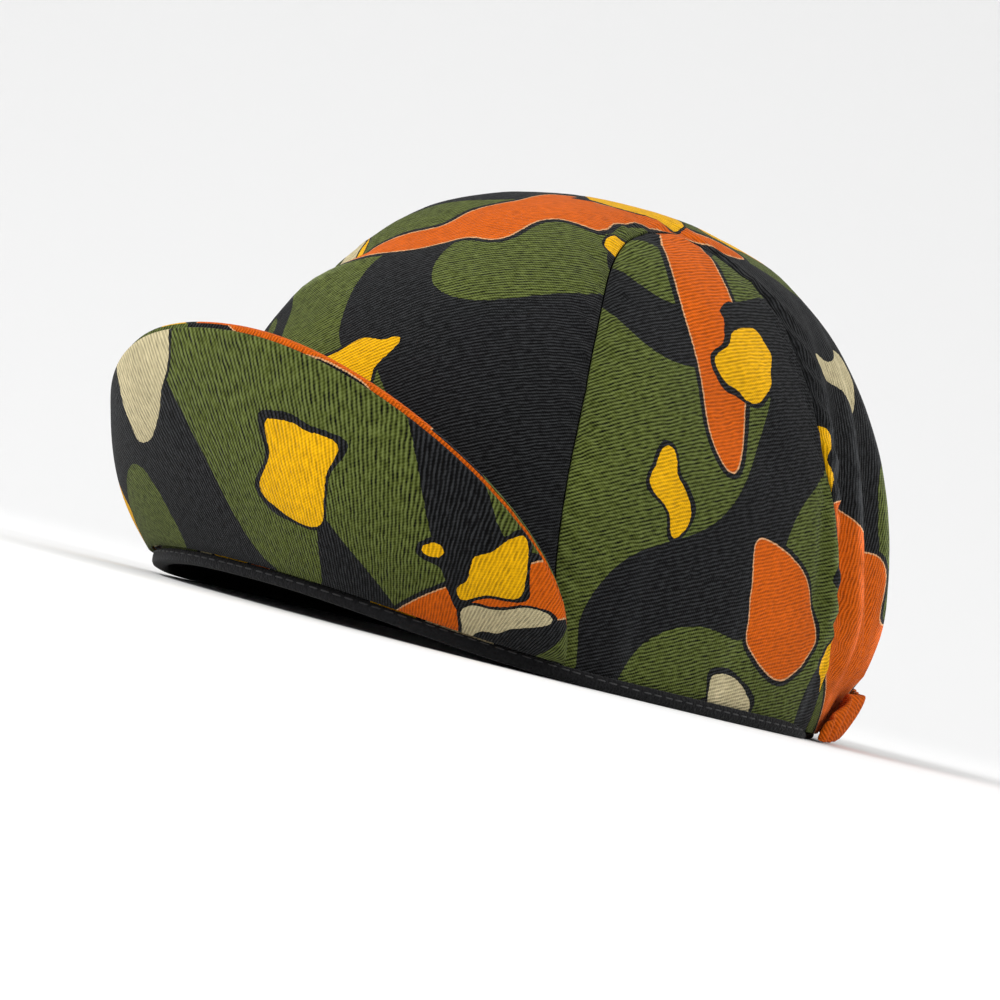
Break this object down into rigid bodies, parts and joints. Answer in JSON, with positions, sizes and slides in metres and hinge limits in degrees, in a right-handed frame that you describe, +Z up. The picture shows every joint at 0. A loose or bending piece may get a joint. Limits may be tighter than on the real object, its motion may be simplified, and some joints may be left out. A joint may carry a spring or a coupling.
{
  "type": "cycling cap",
  "caption": "Soft cloth cap with a rounded crown of sewn panels, a short peak turned up at the front, a sweatband and a gathered elastic at the nape.",
  "frame": {"origin": "middle of the cap's footprint, peak included, on the surface that its rim rests on", "axes": "+Z up to the top of the crown, -Y to the front where the peak is, +X to the wearer's left"},
  "size_m": [0.156, 0.2096, 0.118],
  "materials": {
    "printed_cloth": "matte ribbed twill, camouflage print",
    "band_cloth": "matte, slightly fuzzy"
  },
  "bodies": {
    "root": {"crown_centre_panel": "printed_cloth", "crown_side_panel_left": "printed_cloth", "crown_side_panel_right": "printed_cloth", "peak_under_cloth": "printed_cloth", "peak_upper_cloth": "printed_cloth", "elastic_casing": "printed_cloth", "sweatband": "band_cloth"}
  },
  "joints": []
}
